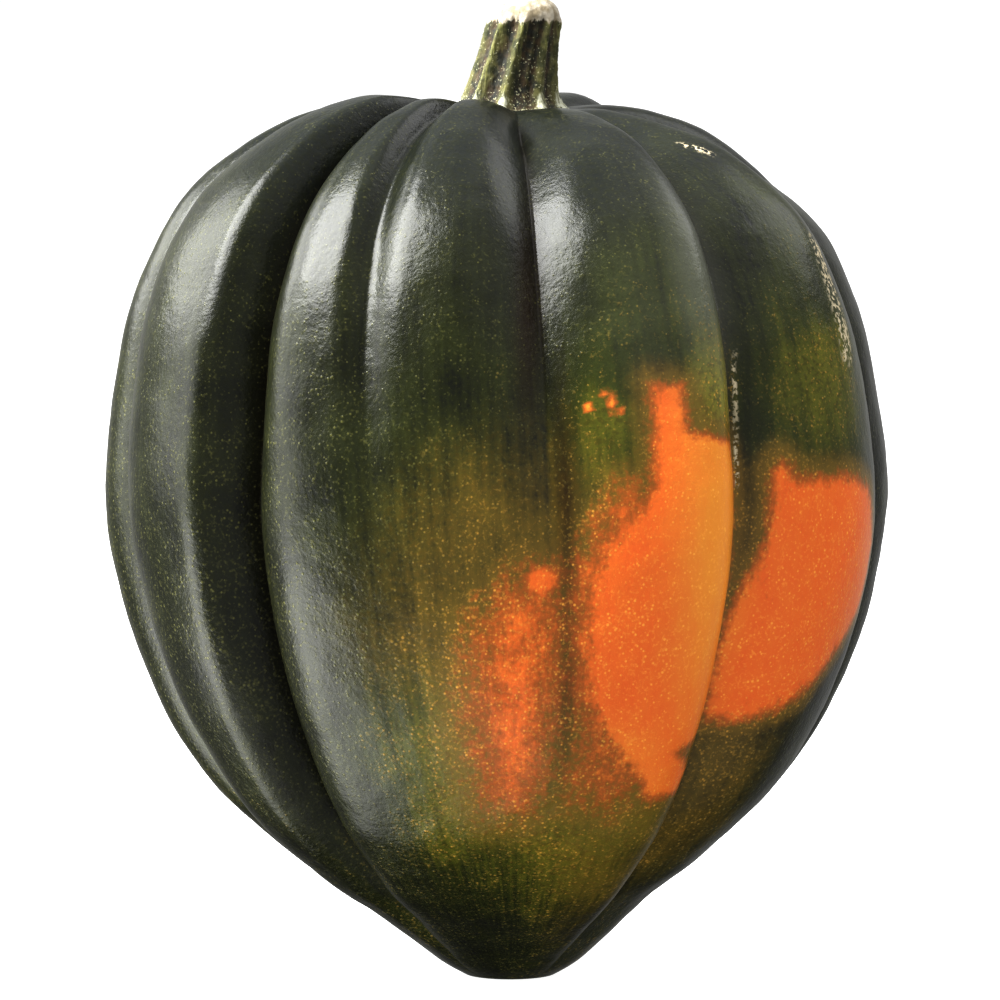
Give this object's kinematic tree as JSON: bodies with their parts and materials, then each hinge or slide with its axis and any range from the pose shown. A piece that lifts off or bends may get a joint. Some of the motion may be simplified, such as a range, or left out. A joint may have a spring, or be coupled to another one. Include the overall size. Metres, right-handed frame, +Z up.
{
  "type": "acorn squash",
  "caption": "Dark green ribbed acorn squash with an orange ripening patch, pointed at the blossom end, standing upright, with a short ridged woody stem.",
  "frame": {"origin": "middle of the flat spot at the blossom end, on which the squash stands", "axes": "+Z up along the fruit's core to the stem; -Y is the front, where the orange patches are; the squash is longest along Z"},
  "size_m": [0.1197, 0.1248, 0.1499],
  "materials": {
    "rind": "waxy semi-gloss, dark green with fine pale specks and orange ripening patches",
    "stem_wood": "dry ridged stem, olive and brown with pale corky ridges and a tan cut end"
  },
  "bodies": {
    "root": {"fruit": "rind", "stem": "stem_wood"}
  },
  "joints": []
}
